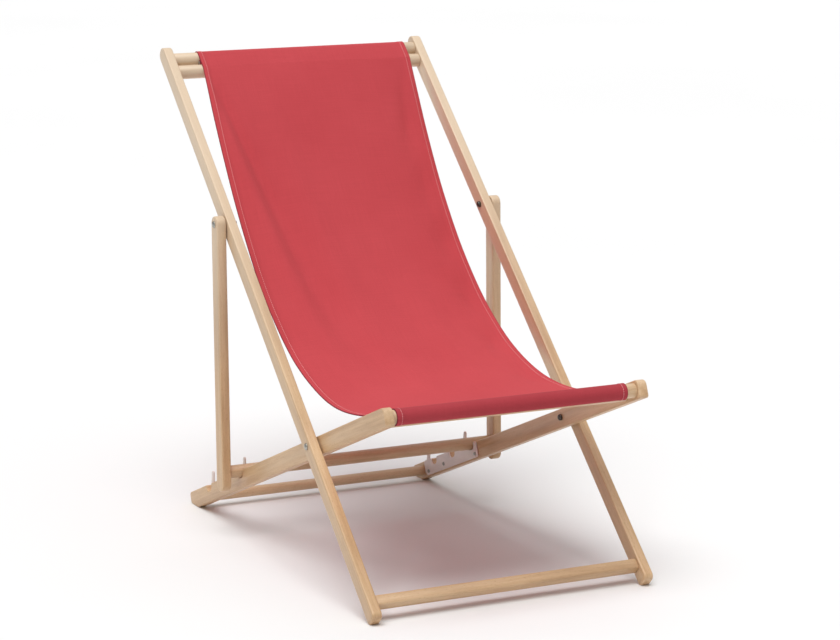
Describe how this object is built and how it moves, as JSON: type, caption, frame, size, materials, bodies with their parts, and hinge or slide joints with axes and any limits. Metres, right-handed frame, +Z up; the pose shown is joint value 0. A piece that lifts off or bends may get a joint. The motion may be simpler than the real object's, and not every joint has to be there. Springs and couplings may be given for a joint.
{
  "type": "folding deck chair",
  "caption": "Folding deck chair: beech back, seat and prop frames on steel pivots, notched seat rails with hooked racks, and a canvas sling hung between round dowels.",
  "frame": {"origin": "on the floor, under the middle of the chair as it stands open in the front notch", "axes": "+Z up, +X across the chair, the sitter faces -Y and the back leans towards +Y"},
  "size_m": [0.5936, 0.9676, 0.8874],
  "materials": {
    "beech": "clear satin varnish on light beech",
    "canvas": "plain woven red canvas",
    "rack_nylon": "translucent off-white moulded nylon",
    "zinc_steel": "zinc plated"
  },
  "bodies": {
    "seat_frame": {"seat_rail_left": "beech", "seat_rail_right": "beech", "notch_rack_left": "rack_nylon", "notch_rack_right": "rack_nylon", "rack_screw_left_1": "zinc_steel", "rack_screw_left_2": "zinc_steel", "rack_screw_left_3": "zinc_steel", "rack_screw_right_1": "zinc_steel", "rack_screw_right_2": "zinc_steel", "rack_screw_right_3": "zinc_steel", "front_dowel": "beech", "front_dowel_second": "beech", "foot_dowel": "beech", "front_rod": "zinc_steel"},
    "back_frame": {"back_rail_left": "beech", "back_rail_right": "beech", "top_dowel_upper": "beech", "top_dowel_lower": "beech", "bottom_crossbar": "beech", "top_rod": "zinc_steel", "sling": "canvas", "seat_pivot_bolt_left": "zinc_steel", "seat_pivot_bolt_right": "zinc_steel", "seat_pivot_washer_left": "rack_nylon", "seat_pivot_washer_right": "rack_nylon", "seat_pivot_nut_left": "zinc_steel", "seat_pivot_nut_right": "zinc_steel"},
    "prop_frame": {"prop_leg_left": "beech", "prop_leg_right": "beech", "prop_bar": "beech", "prop_pivot_bolt_left": "zinc_steel", "prop_pivot_bolt_right": "zinc_steel", "prop_pivot_washer_left": "rack_nylon", "prop_pivot_washer_right": "rack_nylon", "prop_pivot_nut_left": "zinc_steel", "prop_pivot_nut_right": "zinc_steel"}
  },
  "joints": [
    {"name": "back_fold", "type": "hinge", "parent": "seat_frame", "child": "back_frame", "pos_m": [0, -0.20291, 0.25261], "axis": [1, 0, 0], "range_deg": [0, 25], "deforming": ["sling"]},
    {"name": "prop_swing", "type": "hinge", "parent": "back_frame", "child": "prop_frame", "pos_m": [0, 0.16506, 0.59217], "axis": [1, 0, 0], "range_deg": [-6.25, 0]}
  ],
  "couplings": [
    {"joint": "prop_swing", "follows": "back_fold", "ratio": -0.25}
  ]
}
